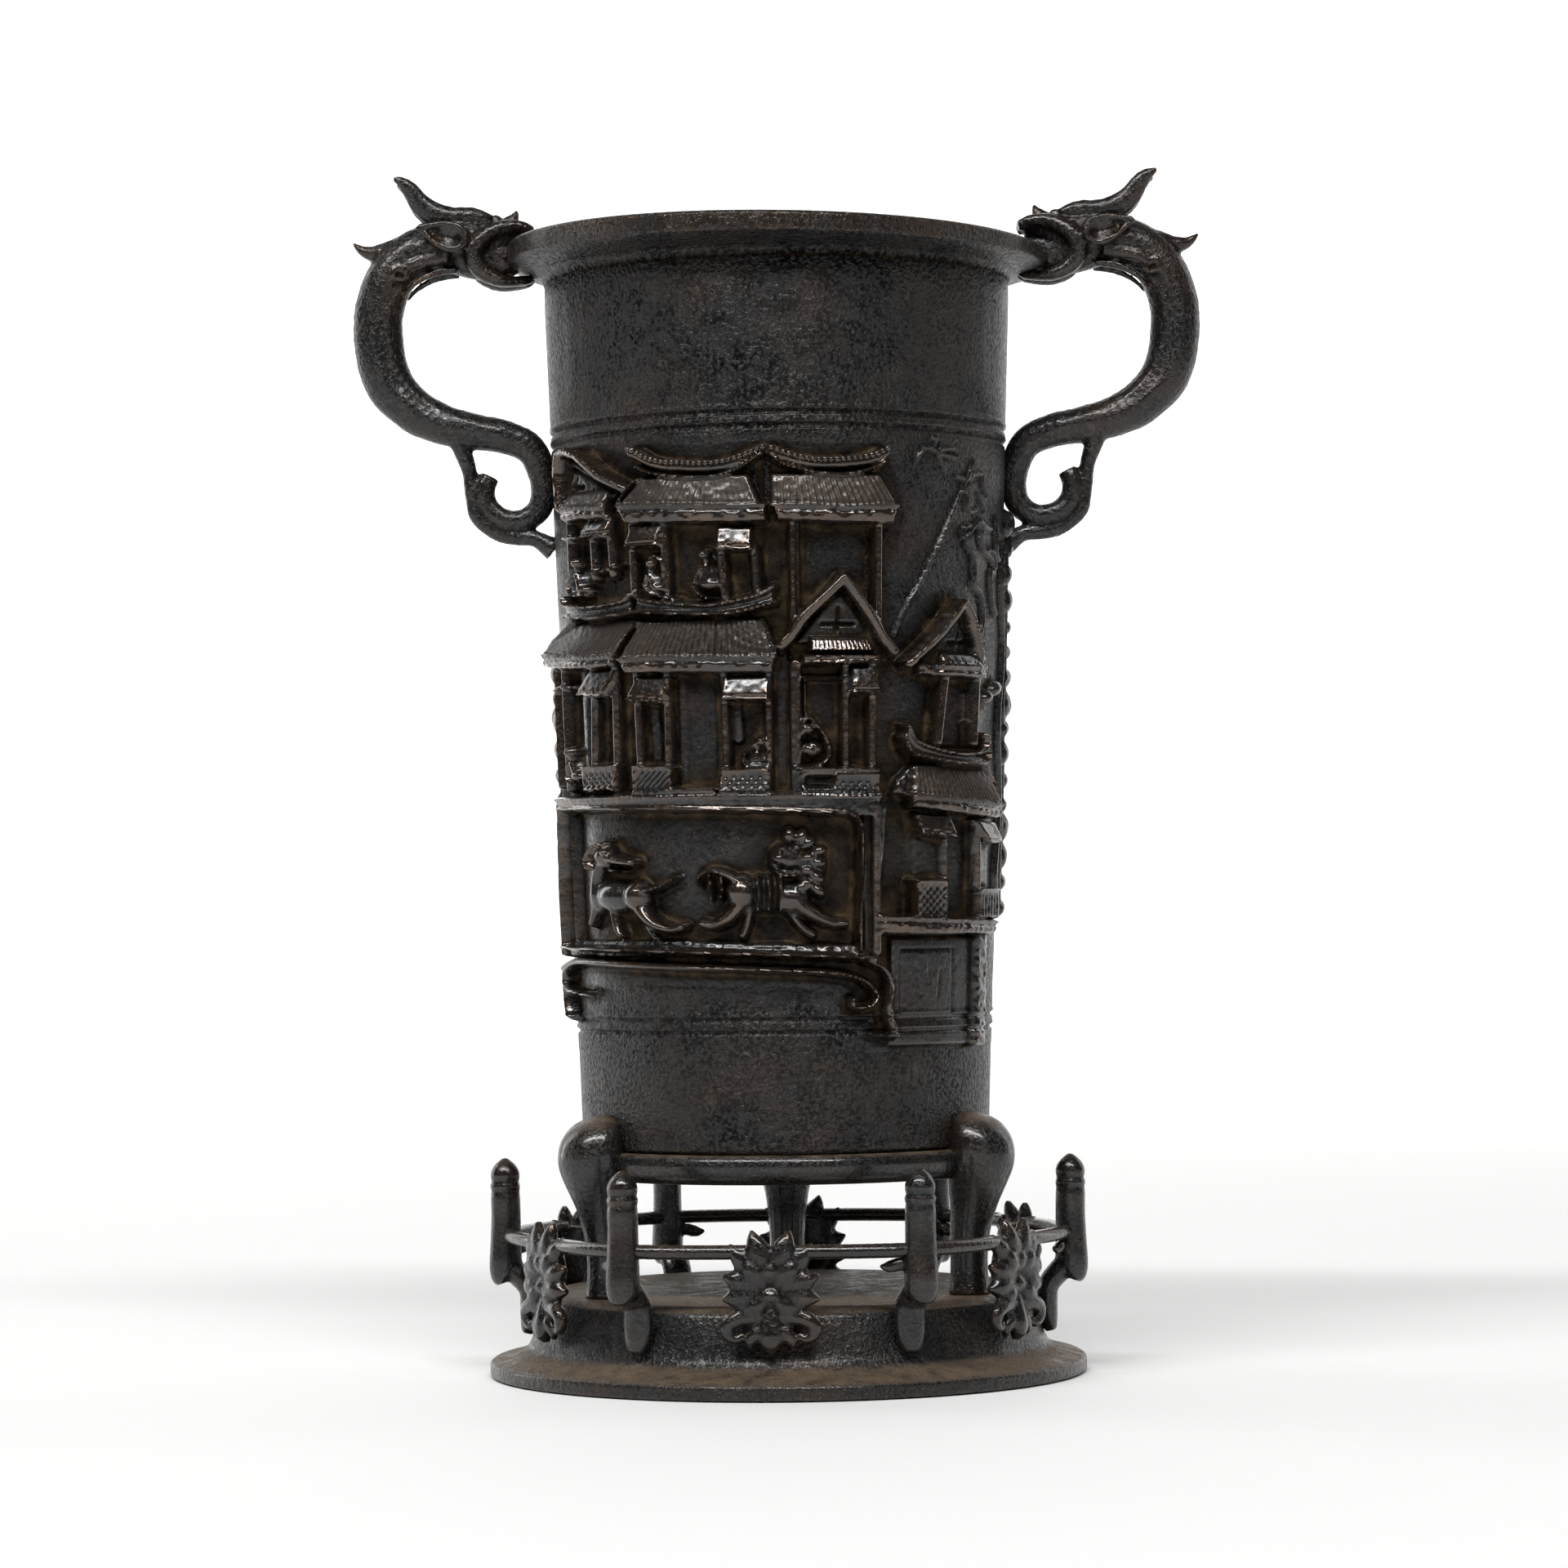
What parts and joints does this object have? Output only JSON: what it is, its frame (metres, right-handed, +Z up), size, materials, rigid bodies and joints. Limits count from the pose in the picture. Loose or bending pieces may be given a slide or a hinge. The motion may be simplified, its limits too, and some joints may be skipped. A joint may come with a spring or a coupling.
{
  "type": "bronze incense tool vase",
  "caption": "Tall hollow bronze vase for incense tools, with pavilions in relief and dragon handles, on a tripod stand and a plinth with a lotus balustrade.",
  "frame": {"origin": "centre of the plinth's underside, on the surface that the vase stands on", "axes": "+Z up along the vase's axis, -Y the front with the pavilions, +X to the right through the right handle"},
  "size_m": [0.1036, 0.0724, 0.1461],
  "materials": {
    "vase_bronze": "dark brown-black patina over a pitted cast surface, with ochre dust in the recesses",
    "handle_bronze": "dark patina, rubbed brown on the ridges",
    "stand_bronze": "dark patina with dust on its ledge",
    "plinth_bronze": "dark patina, dusty on its flat top",
    "balustrade_bronze": "dark patina, rubbed brown on posts and petals"
  },
  "bodies": {
    "root": {"vase_body": "vase_bronze", "dragon_handle_left": "handle_bronze", "dragon_handle_right": "handle_bronze", "tripod_stand": "stand_bronze", "plinth": "plinth_bronze", "balustrade": "balustrade_bronze"}
  },
  "joints": []
}
